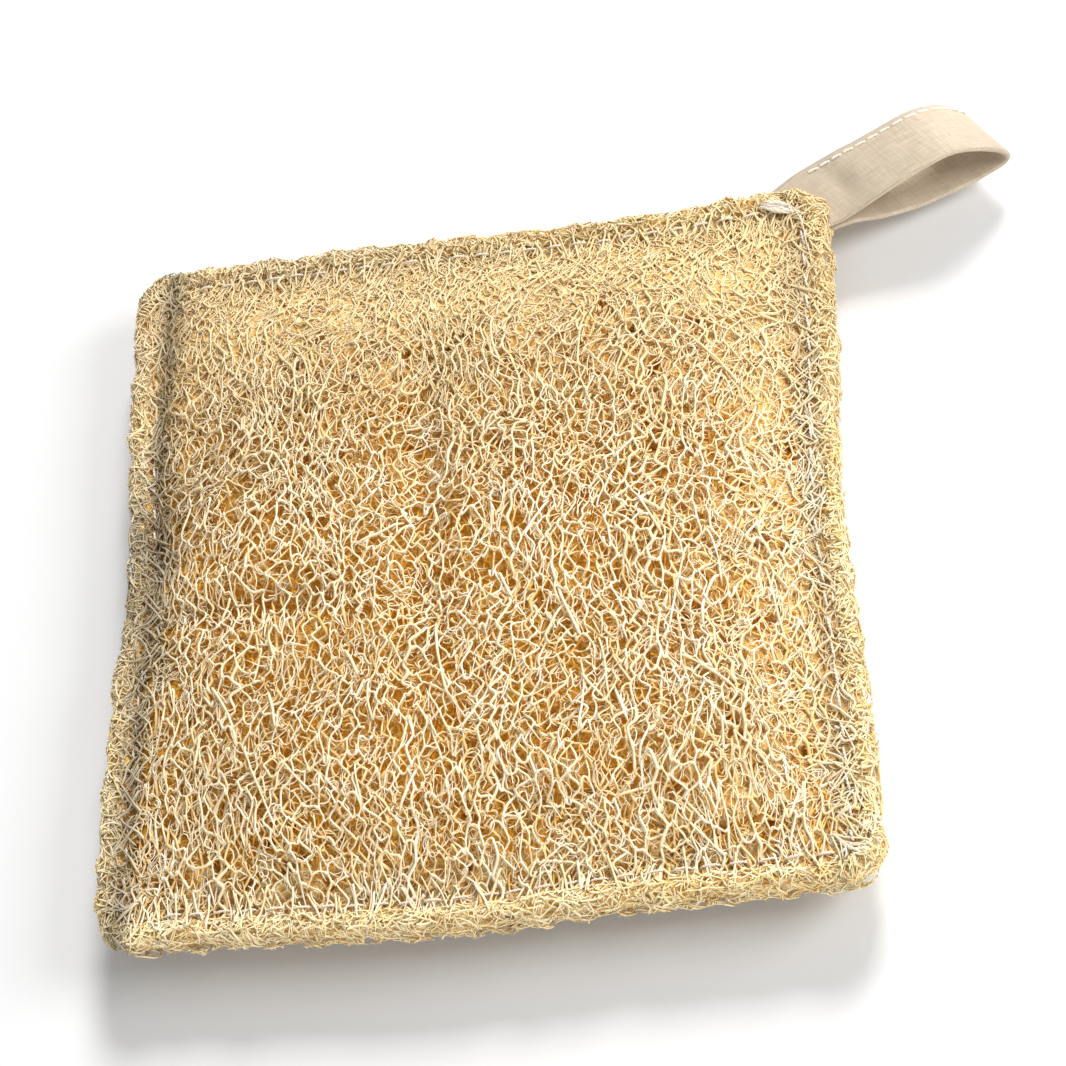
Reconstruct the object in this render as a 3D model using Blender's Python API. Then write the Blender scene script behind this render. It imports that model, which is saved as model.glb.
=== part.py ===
"""Square loofah scrubbing pad with a cloth hanging loop.

Two pads of opened-out loofah lie on each other and are sewn together by one
lockstitch seam, which pulls a groove in both faces. The loop's tails are caught
in the seam at one corner. Units are metres, +Z is up, and the origin is the
middle of the underside, on the surface that the pad lies on.
"""

import math
import random

import bmesh
import bpy
from mathutils import Vector

MM = 0.001

# The pad's outline and height
HALF_SIDE = 65 * MM
CORNER_RADIUS = 7 * MM
PAD_HEIGHT = 18 * MM
PARTING_GAP = 0.3 * MM

# How far each side of the hand-cut outline stands out from the true square:
# an even shift, a slope along the side and one bulge with its place and width
# along the side, which runs from -1 to 1
SIDE_SHIFTS = {
    "right": (0.1 * MM, 0.4 * MM, -1.9 * MM, 0.00, 0.40),
    "left": (-0.4 * MM, 1.9 * MM, -1.9 * MM, 0.02, 0.30),
    "top": (-0.8 * MM, -0.4 * MM, -1.9 * MM, 0.35, 0.50),
    "bottom": (2.7 * MM, -0.8 * MM, 1.6 * MM, -0.10, 0.40),
}

# The seam's groove and the rim outside it, as insets from the outline and
# heights over the plane where the two layers meet
SEAM_INSET = 4.8 * MM
GROOVE_WIDTH = 1.4 * MM
GROOVE_HEIGHT = 2.0 * MM
CREST_INSET = 1.0 * MM
CREST_HEIGHT = 3.8 * MM
RIM_JITTER = 0.45 * MM

# The puffed middle, and the net of fibres raised on it
NET_INSET = 7.6 * MM
TOP_PUFF_SPREAD = 30 * MM
BOTTOM_PUFF_SPREAD = 22 * MM
PUFF_POWER = 2.5
NET_COLUMNS = 15
NET_ROWS = 11
NET_JITTER = 0.9 * MM
JUNCTION_PULL = 0.8 * MM
STRAND_HALF_WIDTH = 0.9 * MM
CELL_DEPTH = 3.0 * MM
CELL_DEPTH_SHARE = 0.4

# Segments round the rim: each side has straight ones and a corner
STRAIGHT_SEGMENTS = 45
CORNER_SEGMENTS = 3
SIDE_SEGMENTS = STRAIGHT_SEGMENTS + CORNER_SEGMENTS
RING_SEGMENTS = 4 * SIDE_SEGMENTS

# The seam's two threads
THREAD_RADIUS = 0.32 * MM
THREAD_CLEARANCE = 0.3 * MM
DIP_MARGIN = 0.16

# The hanging loop: where it leaves the corner, which way it points, and its
# side profile as distance along that way and height
LOOP_BASE = (63.1 * MM, 61.8 * MM)
LOOP_AZIMUTH = math.radians(20.5)
LOOP_SIDE_AZIMUTH = math.radians(-58)
TAPE_THICKNESS = 0.9 * MM
TAPE_NEAR_HALF = 7.3 * MM
TAPE_FAR_HALF = 7.0 * MM
TAIL_FAR_HALF = 3.0 * MM
TAIL_LENGTH = 9.5 * MM
LOOP_FLAT_SHARE = 0.27
LOOP_FLAT_START = 12 * MM
LOOP_FLAT_HEIGHT = 4.5 * MM
LOOP_PROFILE = (
    (-9.5, 9.6), (-3.0, 9.6), (1.5, 9.9), (6.0, 11.0), (12.0, 12.9), (18.0, 14.3),
    (24.0, 14.8), (28.5, 12.9), (32.1, 8.8), (33.4, 6.3), (32.5, 4.9), (30.3, 4.3),
    (25.0, 3.1), (17.0, 2.6), (9.0, 4.4), (4.5, 6.9), (1.5, 8.1), (-3.0, 8.4),
    (-9.5, 8.4),
)
PROFILE_STEPS = 3
POCKET_HALF_HEIGHT = 1.35 * MM
POCKET_MARGIN = 0.35 * MM
STITCH_HOLE_LENGTH = 2.0 * MM

# The row of stitches along the loop's far edge
TOPSTITCH_RADIUS = 0.22 * MM
TOPSTITCH_INSET = 1.6 * MM
TOPSTITCH_START = 3.0 * MM
TOPSTITCH_CLEARANCE = 0.3 * MM

MID_HEIGHT = PAD_HEIGHT / 2

COLOURS = {
    "loofah": "e3c88f",
    "loofah_underside": "dcbd80",
    "cotton_tape": "cfc3b2",
    "seam_thread": "ddd6d6",
    "topstitch": "e9e0cd",
}


def remove_old_objects():
    for old in list(bpy.data.objects):
        bpy.data.objects.remove(old, do_unlink=True)


def linear(channel):
    if channel <= 0.04045:
        return channel / 12.92
    return ((channel + 0.055) / 1.055) ** 2.4


def material(name, roughness):
    """A matt material in the named colour."""
    code = COLOURS[name]
    rgb = [linear(int(code[i:i + 2], 16) / 255) for i in (0, 2, 4)]
    result = bpy.data.materials.new(name)
    result.use_nodes = True
    shader = result.node_tree.nodes["Principled BSDF"]
    shader.inputs["Base Color"].default_value = (*rgb, 1)
    shader.inputs["Roughness"].default_value = roughness
    shader.inputs["Metallic"].default_value = 0
    return result


def add_object(name, data, look):
    result = bpy.data.objects.new(name, data)
    result.data.materials.append(look)
    bpy.context.scene.collection.objects.link(result)
    return result


def outward_shift(side, along):
    """How far one side's outline stands out at a place from -1 to 1 along it."""
    shift, slope, bulge, centre, width = SIDE_SHIFTS[side]
    return shift + slope * along + bulge * math.exp(-((along - centre) / width) ** 2)


def hand_cut(x, y):
    """Moves a point of the true square to its place in the uneven real one."""
    across, up = x / HALF_SIDE, y / HALF_SIDE
    right_share, top_share = (1 + across) / 2, (1 + up) / 2
    moved_x = (right_share * outward_shift("right", up)
               - (1 - right_share) * outward_shift("left", up))
    moved_y = (top_share * outward_shift("top", across)
               - (1 - top_share) * outward_shift("bottom", across))
    return x + moved_x, y + moved_y


def ring_point(place, inset):
    """A point of the true square's rounded outline, moved in by an inset.

    The place counts segments round the rim, starting at the bottom side's left
    end, and may lie between two of them.
    """
    side, along = divmod(place % RING_SEGMENTS, SIDE_SEGMENTS)
    straight_half = HALF_SIDE - CORNER_RADIUS
    if along <= STRAIGHT_SEGMENTS:
        x = straight_half * (2 * along / STRAIGHT_SEGMENTS - 1)
        y = inset - HALF_SIDE
    else:
        angle = math.pi / 2 * (along - STRAIGHT_SEGMENTS) / CORNER_SEGMENTS
        radius = CORNER_RADIUS - inset
        x = straight_half + radius * math.sin(angle)
        y = -straight_half - radius * math.cos(angle)
    for _ in range(int(side)):
        x, y = -y, x
    return x, y


def puff_share(distance, spread):
    """The part of the full height reached at a distance in from the seam."""
    share = min(max(distance / spread, 0), 1)
    return 1 - (1 - share) ** PUFF_POWER


def puff_height(x, y, spread):
    """The layer's height over the plane where the two layers meet."""
    start = HALF_SIDE - SEAM_INSET - GROOVE_WIDTH / 2
    share = puff_share(start - abs(x), spread) * puff_share(start - abs(y), spread)
    return GROOVE_HEIGHT + (MID_HEIGHT - GROOVE_HEIGHT) * share


def is_stitch_hole(segment):
    along = segment % SIDE_SEGMENTS
    return along < STRAIGHT_SEGMENTS and along % 2 == 0


def add_ring(mesh, sign, inset, height, jitter=0.0, lift=0.0, chance=None):
    """One closed row of points round the rim."""
    points = []
    for place in range(RING_SEGMENTS):
        stray = chance.uniform(-jitter, jitter) if chance else 0
        rise = chance.uniform(-lift, lift) if chance else 0
        x, y = hand_cut(*ring_point(place, inset + stray))
        points.append(mesh.verts.new((x, y, MID_HEIGHT + sign * (height + rise))))
    return points


def join_rings(mesh, first, second, skip_holes=False):
    for i in range(RING_SEGMENTS):
        if skip_holes and is_stitch_hole(i):
            continue
        j = (i + 1) % RING_SEGMENTS
        mesh.faces.new((first[i], first[j], second[j], second[i]))


def line_stitch_holes(mesh, outer_top, inner_top, outer_base, inner_base):
    """The four walls of each hole that a stitch goes through."""
    for i in filter(is_stitch_hole, range(RING_SEGMENTS)):
        j = (i + 1) % RING_SEGMENTS
        top = (outer_top[i], outer_top[j], inner_top[j], inner_top[i])
        base = (outer_base[i], outer_base[j], inner_base[j], inner_base[i])
        for k in range(4):
            m = (k + 1) % 4
            mesh.faces.new((top[k], top[m], base[m], base[k]))


def net_corner(column, row, chance):
    """A junction of the net, where three strands meet, in the true square."""
    reach = HALF_SIDE - NET_INSET
    x = reach * (2 * column / NET_COLUMNS - 1)
    y = reach * (row / NET_ROWS - 1)
    inside_x = 0 < column < NET_COLUMNS
    inside_y = 0 < row < 2 * NET_ROWS
    if inside_x:
        pull = JUNCTION_PULL if (column + row) % 2 else -JUNCTION_PULL
        x += pull * inside_y + chance.uniform(-NET_JITTER, NET_JITTER)
    if inside_y:
        y += chance.uniform(-NET_JITTER, NET_JITTER)
    return x, y


def net_cells():
    """Each cell's lower and upper row, with every other column half a cell off."""
    for column in range(NET_COLUMNS):
        if column % 2:
            starts = range(0, 2 * NET_ROWS, 2)
        else:
            starts = range(-1, 2 * NET_ROWS, 2)
        for start in starts:
            yield column, max(start, 0), min(start + 2, 2 * NET_ROWS)


def add_net(mesh, sign, spread, chance, solid_middle):
    """The raised net, and its outer row of points in order round the pad."""
    rows = 2 * NET_ROWS
    corners = {}
    for column in range(NET_COLUMNS + 1):
        for row in range(rows + 1):
            x, y = net_corner(column, row, chance)
            height = puff_height(x, y, spread)
            place = (*hand_cut(x, y), MID_HEIGHT + sign * height)
            corners[column, row] = mesh.verts.new(place)
    cells = []
    for column, low, high in net_cells():
        left = [corners[column, row] for row in range(low, high + 1)]
        right = [corners[column + 1, row] for row in range(low, high + 1)]
        face = mesh.faces.new(left[::-1] + right if sign > 0 else left + right[::-1])
        middle = column == NET_COLUMNS // 2 and low < NET_ROWS < high
        if not (solid_middle and middle):
            cells.append(face)
    mesh.normal_update()
    bmesh.ops.inset_individual(
        mesh, faces=cells, thickness=STRAND_HALF_WIDTH, use_even_offset=True)
    for face in cells:
        centre = face.calc_center_median()
        height = abs(centre.z - MID_HEIGHT)
        depth = min(CELL_DEPTH, CELL_DEPTH_SHARE * height)
        poked = bmesh.ops.poke(mesh, faces=[face])
        poked["verts"][0].co.z = centre.z - sign * depth
    bottom = [corners[c, 0] for c in range(NET_COLUMNS)]
    right = [corners[NET_COLUMNS, r] for r in range(rows)]
    top = [corners[c, rows] for c in range(NET_COLUMNS, 0, -1)]
    left = [corners[0, r] for r in range(rows, 0, -1)]
    return bottom + right + top + left


def round_angle(vert):
    return math.atan2(vert.co.y, vert.co.x)


def zip_rings(mesh, inner, outer):
    """Triangles between two closed rows with different numbers of points."""
    inner = sorted(inner, key=round_angle)
    outer = sorted(outer, key=round_angle)
    i = j = 0
    while i < len(inner) or j < len(outer):
        a, b = inner[i % len(inner)], outer[j % len(outer)]
        next_a, next_b = inner[(i + 1) % len(inner)], outer[(j + 1) % len(outer)]
        angle_a = round_angle(next_a) + (2 * math.pi if i + 1 >= len(inner) else 0)
        angle_b = round_angle(next_b) + (2 * math.pi if j + 1 >= len(outer) else 0)
        if j >= len(outer) or (i < len(inner) and angle_a <= angle_b):
            mesh.faces.new((a, next_a, b))
            i += 1
        else:
            mesh.faces.new((a, next_b, b))
            j += 1


def make_layer(name, sign, spread, seed, look, solid_middle=False):
    """One layer of loofah, above the parting plane for sign 1, below for -1."""
    chance = random.Random(seed)
    mesh = bmesh.new()
    half_gap = PARTING_GAP / 2
    groove_in = SEAM_INSET + GROOVE_WIDTH / 2
    groove_out = SEAM_INSET - GROOVE_WIDTH / 2
    net_edge = add_net(mesh, sign, spread, chance, solid_middle)
    inner_top = add_ring(mesh, sign, groove_in, GROOVE_HEIGHT)
    outer_top = add_ring(mesh, sign, groove_out, GROOVE_HEIGHT)
    crest = add_ring(mesh, sign, CREST_INSET, CREST_HEIGHT, RIM_JITTER, RIM_JITTER, chance)
    tip = add_ring(mesh, sign, 0, half_gap, RIM_JITTER, 0, chance)
    outer_base = add_ring(mesh, sign, groove_out, half_gap)
    inner_base = add_ring(mesh, sign, groove_in, half_gap)
    zip_rings(mesh, net_edge, inner_top)
    join_rings(mesh, inner_top, outer_top, skip_holes=True)
    join_rings(mesh, outer_top, crest)
    join_rings(mesh, crest, tip)
    join_rings(mesh, tip, outer_base)
    join_rings(mesh, outer_base, inner_base, skip_holes=True)
    line_stitch_holes(mesh, outer_top, inner_top, outer_base, inner_base)
    mesh.faces.new(inner_base)
    bmesh.ops.recalc_face_normals(mesh, faces=mesh.faces)
    data = bpy.data.meshes.new(name)
    mesh.to_mesh(data)
    mesh.free()
    return add_object(name, data, look)


def curve_object(name, points, radius, cyclic, look):
    """A round thread through the points."""
    data = bpy.data.curves.new(name, "CURVE")
    data.dimensions = "3D"
    data.bevel_depth = radius
    data.bevel_resolution = 0
    data.use_fill_caps = not cyclic
    spline = data.splines.new("POLY")
    spline.points.add(len(points) - 1)
    for point, place in zip(spline.points, points):
        point.co = (*place, 1)
    spline.use_cyclic_u = cyclic
    return add_object(name, data, look)


def make_seam_thread(name, sign, look):
    """A thread that lies in the groove and dips into every stitch hole."""
    run = GROOVE_HEIGHT + THREAD_CLEARANCE + THREAD_RADIUS
    dip = PARTING_GAP / 2 + THREAD_RADIUS
    points = []
    for segment in range(RING_SEGMENTS):
        if is_stitch_hole(segment):
            steps = ((DIP_MARGIN, run), (0.5, dip), (1 - DIP_MARGIN, run))
        elif segment % SIDE_SEGMENTS > STRAIGHT_SEGMENTS:
            steps = ((0, run),)
        else:
            steps = ()
        for share, height in steps:
            x, y = hand_cut(*ring_point(segment + share, SEAM_INSET))
            points.append((x, y, MID_HEIGHT + sign * height))
    return curve_object(name, points, THREAD_RADIUS, True, look)


def smooth_route(points, steps):
    """Points on a smooth curve through the given ones."""
    padded = [points[0], *points, points[-1]]
    route = []
    for p0, p1, p2, p3 in zip(padded, padded[1:], padded[2:], padded[3:]):
        for step in range(steps):
            t = step / steps
            route.append(0.5 * (2 * p1 + (p2 - p0) * t
                                + (2 * p0 - 5 * p1 + 4 * p2 - p3) * t ** 2
                                + (3 * p1 - p0 - 3 * p2 + p3) * t ** 3))
    route.append(points[-1])
    return route


def loop_profile():
    """The loop's middle line from the side, with its outward directions."""
    controls = [Vector((along * MM, height * MM)) for along, height in LOOP_PROFILE]
    route = smooth_route(controls, PROFILE_STEPS)
    outward = []
    for i in range(len(route)):
        before, after = route[max(i - 1, 0)], route[min(i + 1, len(route) - 1)]
        run = (after - before).normalized()
        outward.append(Vector((-run.y, run.x)))
    return route, outward


def far_half(along):
    """The tape's half width on its far side, folded in where it is sewn."""
    share = min(max(1 + along / TAIL_LENGTH, 0), 1)
    return TAIL_FAR_HALF + (TAPE_FAR_HALF - TAIL_FAR_HALF) * share


def loop_point(along, height, sideways):
    """A place on the loop: along it, up, and sideways toward the near edge.

    The far side of the loop lies flatter than the near one.
    """
    far_share = 0.5 - sideways / (TAPE_NEAR_HALF + TAPE_FAR_HALF)
    flatter = LOOP_FLAT_SHARE * far_share * min(max(along / LOOP_FLAT_START, 0), 1)
    height -= flatter * (height - LOOP_FLAT_HEIGHT)
    x = (LOOP_BASE[0] + along * math.cos(LOOP_AZIMUTH)
         + sideways * math.cos(LOOP_SIDE_AZIMUTH))
    y = (LOOP_BASE[1] + along * math.sin(LOOP_AZIMUTH)
         + sideways * math.sin(LOOP_SIDE_AZIMUTH))
    return x, y, height


def make_tape(name, look):
    """The flat tape, bent round into a loop with its two tails together."""
    route, outward = loop_profile()
    mesh = bmesh.new()
    sections = []
    for centre, out in zip(route, outward):
        section = []
        for side, face in ((1, 1), (1, -1), (-1, -1), (-1, 1)):
            place = centre + out * face * TAPE_THICKNESS / 2
            sideways = TAPE_NEAR_HALF if side > 0 else -far_half(centre.x)
            section.append(mesh.verts.new(loop_point(place.x, place.y, sideways)))
        sections.append(section)
    for first, second in zip(sections, sections[1:]):
        for k in range(4):
            m = (k + 1) % 4
            mesh.faces.new((first[k], first[m], second[m], second[k]))
    mesh.faces.new(sections[0])
    mesh.faces.new(sections[-1])
    bmesh.ops.recalc_face_normals(mesh, faces=mesh.faces)
    data = bpy.data.meshes.new(name)
    mesh.to_mesh(data)
    mesh.free()
    return add_object(name, data, look)


def make_topstitch(name, look):
    """The thread sewn along the tape's far edge, on the loop's outside."""
    route, outward = loop_profile()
    reach = TAPE_THICKNESS / 2 + TOPSTITCH_CLEARANCE + TOPSTITCH_RADIUS
    points = []
    for centre, out in zip(route, outward):
        if centre.x >= TOPSTITCH_START:
            place = centre + out * reach
            sideways = TOPSTITCH_INSET - TAPE_FAR_HALF
            points.append(loop_point(place.x, place.y, sideways))
    return curve_object(name, points, TOPSTITCH_RADIUS, False, look)


def prism(mesh, outline, low, high):
    """A closed prism over a convex outline in plan."""
    base = [mesh.verts.new((x, y, low)) for x, y in outline]
    top = [mesh.verts.new((x, y, high)) for x, y in outline]
    mesh.faces.new(base[::-1])
    mesh.faces.new(top)
    for i in range(len(outline)):
        j = (i + 1) % len(outline)
        mesh.faces.new((base[i], base[j], top[j], top[i]))


def cutter_object(name, mesh):
    bmesh.ops.recalc_face_normals(mesh, faces=mesh.faces)
    data = bpy.data.meshes.new(name)
    mesh.to_mesh(data)
    mesh.free()
    result = bpy.data.objects.new(name, data)
    bpy.context.scene.collection.objects.link(result)
    result.hide_render = True
    result.display_type = "WIRE"
    return result


def make_pocket_cutter():
    """The room for the tape's tails between the layers, open at the corner."""
    inner_end = -TAIL_LENGTH - POCKET_MARGIN
    outer_end = TAIL_LENGTH
    near = TAPE_NEAR_HALF + POCKET_MARGIN
    corners = (
        (inner_end, near), (outer_end, near),
        (outer_end, -TAPE_FAR_HALF - POCKET_MARGIN),
        (0, -TAPE_FAR_HALF - POCKET_MARGIN),
        (inner_end, -TAIL_FAR_HALF - POCKET_MARGIN),
    )
    outline = [loop_point(along, 0, sideways)[:2] for along, sideways in corners]
    mesh = bmesh.new()
    prism(mesh, outline, MID_HEIGHT - POCKET_HALF_HEIGHT, MID_HEIGHT + POCKET_HALF_HEIGHT)
    return cutter_object("pocket_cutter", mesh)


def in_tape_tails(x, y):
    """Whether a seam hole's centre is over the tape's tails."""
    dx, dy = x - LOOP_BASE[0], y - LOOP_BASE[1]
    span = math.sin(LOOP_SIDE_AZIMUTH - LOOP_AZIMUTH)
    along = (dx * math.sin(LOOP_SIDE_AZIMUTH) - dy * math.cos(LOOP_SIDE_AZIMUTH)) / span
    sideways = (dy * math.cos(LOOP_AZIMUTH) - dx * math.sin(LOOP_AZIMUTH)) / span
    reach = STITCH_HOLE_LENGTH
    return (-TAIL_LENGTH - reach < along < TAIL_LENGTH
            and -far_half(along) - reach < sideways < TAPE_NEAR_HALF + reach)


def make_tape_hole_cutter():
    """A small box at each stitch hole that lies over the tape's tails."""
    mesh = bmesh.new()
    for segment in filter(is_stitch_hole, range(RING_SEGMENTS)):
        x, y = hand_cut(*ring_point(segment + 0.5, SEAM_INSET))
        if not in_tape_tails(x, y):
            continue
        ahead_x, ahead_y = hand_cut(*ring_point(segment + 1, SEAM_INSET))
        run = Vector((ahead_x - x, ahead_y - y)).normalized()
        side = Vector((-run.y, run.x))
        centre = Vector((x, y))
        outline = [
            centre + run * STITCH_HOLE_LENGTH / 2 * a + side * GROOVE_WIDTH / 2 * b
            for a, b in ((-1, -1), (1, -1), (1, 1), (-1, 1))
        ]
        low = MID_HEIGHT - 2 * POCKET_HALF_HEIGHT
        high = MID_HEIGHT + 2 * POCKET_HALF_HEIGHT
        prism(mesh, outline, low, high)
    return cutter_object("tape_hole_cutter", mesh)


def cut(target, cutter):
    modifier = target.modifiers.new(cutter.name, "BOOLEAN")
    modifier.operation = "DIFFERENCE"
    modifier.solver = "EXACT"
    modifier.object = cutter


def main():
    remove_old_objects()
    fibre = material("loofah", 0.75)
    underside = material("loofah_underside", 0.75)
    cloth = material("cotton_tape", 0.85)
    seam = material("seam_thread", 0.6)
    topstitch = material("topstitch", 0.65)
    top = make_layer("loofah_top_layer", 1, TOP_PUFF_SPREAD, 11, fibre)
    bottom = make_layer("loofah_bottom_layer", -1, BOTTOM_PUFF_SPREAD, 12, underside,
                        solid_middle=True)
    tape = make_tape("hang_loop_tape", cloth)
    make_seam_thread("seam_needle_thread", 1, seam)
    make_seam_thread("seam_bobbin_thread", -1, seam)
    make_topstitch("loop_topstitch_thread", topstitch)
    pocket = make_pocket_cutter()
    cut(top, pocket)
    cut(bottom, pocket)
    cut(tape, make_tape_hole_cutter())


main()
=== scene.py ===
import math

import bmesh
import bpy
import numpy as np
from mathutils import Matrix, Vector


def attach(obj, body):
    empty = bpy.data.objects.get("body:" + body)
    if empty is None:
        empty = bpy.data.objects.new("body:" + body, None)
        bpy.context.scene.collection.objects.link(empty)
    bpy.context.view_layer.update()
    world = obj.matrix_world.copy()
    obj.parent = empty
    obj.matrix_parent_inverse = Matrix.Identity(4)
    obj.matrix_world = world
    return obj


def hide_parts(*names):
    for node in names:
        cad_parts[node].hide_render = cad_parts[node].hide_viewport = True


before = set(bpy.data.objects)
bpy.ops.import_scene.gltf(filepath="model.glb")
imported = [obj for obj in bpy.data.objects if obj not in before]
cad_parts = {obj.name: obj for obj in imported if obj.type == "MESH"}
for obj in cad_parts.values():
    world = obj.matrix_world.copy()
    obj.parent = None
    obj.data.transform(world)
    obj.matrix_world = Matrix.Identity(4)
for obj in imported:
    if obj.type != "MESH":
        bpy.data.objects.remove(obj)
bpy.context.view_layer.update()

# Lengths below are in millimetres, and the pieces' points are turned to metres
mm = 0.001

# The pad's own sizes, as the solids have them
pad = {
    "half": 65.0,
    "cornerRadius": 7.0,
    "middle": 9.0,
    "seamInset": 4.8,
    "seamWidth": 1.4,
    "seamHeight": 2.0,
    "crestInset": 1.3,
    "crestHeight": 3.8,
    "edgeHeight": 2.2,
    "fillHeight": 3.5,
    "thinUnder": 5.5,
    "leastHeight": 0.25,
    "puff": 7.0,
    "topSpread": 30.0,
    "bottomSpread": 22.0,
    "puffPower": 2.5,
    # each side's even shift, slope and bulge with its place and width
    "sides": {
        "right": (0.1, 0.4, -1.9, 0.00, 0.40),
        "left": (-0.4, 1.9, -1.9, 0.02, 0.30),
        "top": (-0.8, -0.4, -1.9, 0.35, 0.50),
        "bottom": (2.7, -0.8, 1.6, -0.10, 0.40),
    },
}
straightHalf = pad["half"] - pad["cornerRadius"]
quarterLength = 2 * straightHalf + math.pi / 2 * pad["cornerRadius"]
outlineLength = 4 * quarterLength


def sideShift(side, along):
    shift, slope, bulge, centre, width = pad["sides"][side]
    return shift + slope * along + bulge * np.exp(-((along - centre) / width) ** 2)


# A point of the true square, moved to its place in the uneven hand-cut one
def handCut(u, v):
    across, up = u / pad["half"], v / pad["half"]
    rightShare, topShare = (1 + across) / 2, (1 + up) / 2
    x = u + rightShare * sideShift("right", up) - (1 - rightShare) * sideShift("left", up)
    y = v + topShare * sideShift("top", across) - (1 - topShare) * sideShift("bottom", across)
    return x, y


# How far inside the rounded outline a point of the true square is
def edgeDistance(u, v):
    qx, qy = np.abs(u) - straightHalf, np.abs(v) - straightHalf
    outside = np.hypot(np.maximum(qx, 0), np.maximum(qy, 0))
    return pad["cornerRadius"] - outside - np.minimum(np.maximum(qx, qy), 0)


def puffShare(distance, spread):
    share = np.clip(distance / spread, 0, 1)
    return 1 - (1 - share) ** pad["puffPower"]


# Shallow dips that the puffed top has where it was pressed, each with its
# place, its reach along X and Y, and its depth
topDips = (
    (-7.0, 2.0, 4.5, 38.0, 2.1),
    (-40.0, -9.0, 22.0, 3.0, 1.9),
    (22.0, 14.0, 5.0, 20.0, 0.4),
    (-48.0, 34.0, 16.0, 12.0, 0.4),
    (18.0, -50.0, 20.0, 5.0, 0.5),
    (53.0, -20.0, 4.0, 26.0, 0.5),
)


def dipDepth(u, v):
    depth = 0
    for placeU, placeV, reachU, reachV, deep in topDips:
        depth = depth + deep * np.exp(
            -((u - placeU) / reachU) ** 2 - ((v - placeV) / reachV) ** 2)
    return depth


# Where the net is felted. The far side has where it starts to open, over what
# width, and how open it is before. Each other side has where it starts to
# close, over what width, and by what share
felting = {
    "far": (47, 40, 0.04),
    "right": (25, 27, 0.7),
    "left": (38, 16, 0.45),
    "near": (38, 16, 0.45),
    "grooveEdge": (46, 8),
    "grooveFill": (0.6, 0.6, 0.2),
    "pits": 120,
    "pitSeed": 130,
    "pitReach": 57,
    "pitRadius": (0.8, 1.5),
    "pitOpenness": (0.1, 0.75),
}


# 0 up to a place, and from there up to 1 over a width
def riseShare(at, start, width):
    return np.clip((at - start) / width, 0, 1)


# How open the net is, from 0, matted, to 1: it is most open in the middle and
# toward the near side
def openness(u, v):
    start, width, least = felting["far"]
    share = least + (1 - least) * riseShare(-v, -start, width)
    for side, at in (("right", u), ("left", -u), ("near", -v)):
        start, width, most = felting[side]
        share = share * (1 - most * riseShare(at, start, width))
    return share


# How far loose fibre fills the seam's groove on the upper face, as a share: on
# the right, far and near sides
def grooveFill(u, v):
    right, far, near = (most * riseShare(at, *felting["grooveEdge"])
                        for most, at in zip(felting["grooveFill"], (u, v, -v)))
    return np.maximum(np.maximum(right, far), near)


# Small deep holes left in the felted parts, each with its place and radius
def placePits():
    rng = np.random.default_rng(felting["pitSeed"])
    count, reach = felting["pits"], felting["pitReach"]
    u, v = rng.uniform(-reach, reach, (2, 4 * count))
    least, most = felting["pitOpenness"]
    kept = (openness(u, v) < most) & (openness(u, v) > least)
    return u[kept][:count], v[kept][:count], rng.uniform(*felting["pitRadius"], count)


pits = placePits()


def pitShare(u, v):
    away = (np.asarray(u)[..., None] - pits[0]) ** 2 + (np.asarray(v)[..., None] - pits[1]) ** 2
    return np.exp(-away / pits[2] ** 2).max(axis=-1)


# Height of a layer's outer face over the plane where the two layers meet
def faceHeight(u, v, spread):
    start = pad["half"] - pad["seamInset"] - pad["seamWidth"] / 2
    puffed = puffShare(start - np.abs(u), spread) * puffShare(start - np.abs(v), spread)
    middle = pad["seamHeight"] + pad["puff"] * puffed
    if spread == pad["topSpread"]:
        middle = middle - dipDepth(u, v) * puffed
    inset = edgeDistance(u, v)
    rise = pad["crestHeight"] - pad["seamHeight"]
    across = riseShare(inset, pad["crestInset"], pad["seamInset"] - pad["crestInset"])
    rim = pad["seamHeight"] + rise * (0.5 + 0.5 * np.cos(math.pi * across))
    drop = np.clip(1 - inset / pad["crestInset"], 0, 1)
    rim = rim - (pad["crestHeight"] - pad["edgeHeight"]) * drop ** 2
    height = np.where(inset > pad["seamInset"], middle, rim)
    if spread == pad["topSpread"]:
        short = np.maximum(pad["fillHeight"] - height, 0) * (inset > pad["crestInset"])
        height = height + grooveFill(u, v) * short
    return height


# A point on a face of the pad: side 1 is the top, -1 the underside. The net is
# thinner where the pad is, so depths are less near the seam
def facePoint(u, v, side, depth, spread):
    height = faceHeight(u, v, spread)
    share = np.clip(height / pad["thinUnder"], 0.3, 1)
    height = np.maximum(height - depth * share, pad["leastHeight"])
    return np.stack([*handCut(u, v), pad["middle"] + side * height], axis=-1)


# A smooth wander over the pad: a few long waves in seeded directions
def waves(rng, length, count=7):
    angles = rng.uniform(0, math.tau, count)
    phases = rng.uniform(0, math.tau, count)
    lengths = length * rng.uniform(0.7, 1.5, count)

    def value(u, v):
        total = 0
        for angle, phase, one in zip(angles, phases, lengths):
            total = total + np.sin(
                math.tau * (u * math.cos(angle) + v * math.sin(angle)) / one + phase)
        return total * math.sqrt(2 / count)

    return value


# The way the strands of one net run: straight along b in the net's own plan,
# and turned and wandering on the pad
def netFlow(seed, net):
    rng = np.random.default_rng(seed)
    turn = math.radians(net["turn"])
    shifts = [(size, waves(rng, length), waves(rng, length)) for length, size in net["wander"]]

    def place(a, b):
        u = a * math.cos(turn) - b * math.sin(turn)
        v = a * math.sin(turn) + b * math.cos(turn)
        for size, shiftU, shiftV in shifts:
            u, v = u + size * shiftU(u, v), v + size * shiftV(u, v)
        return u, v

    return place


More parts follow.
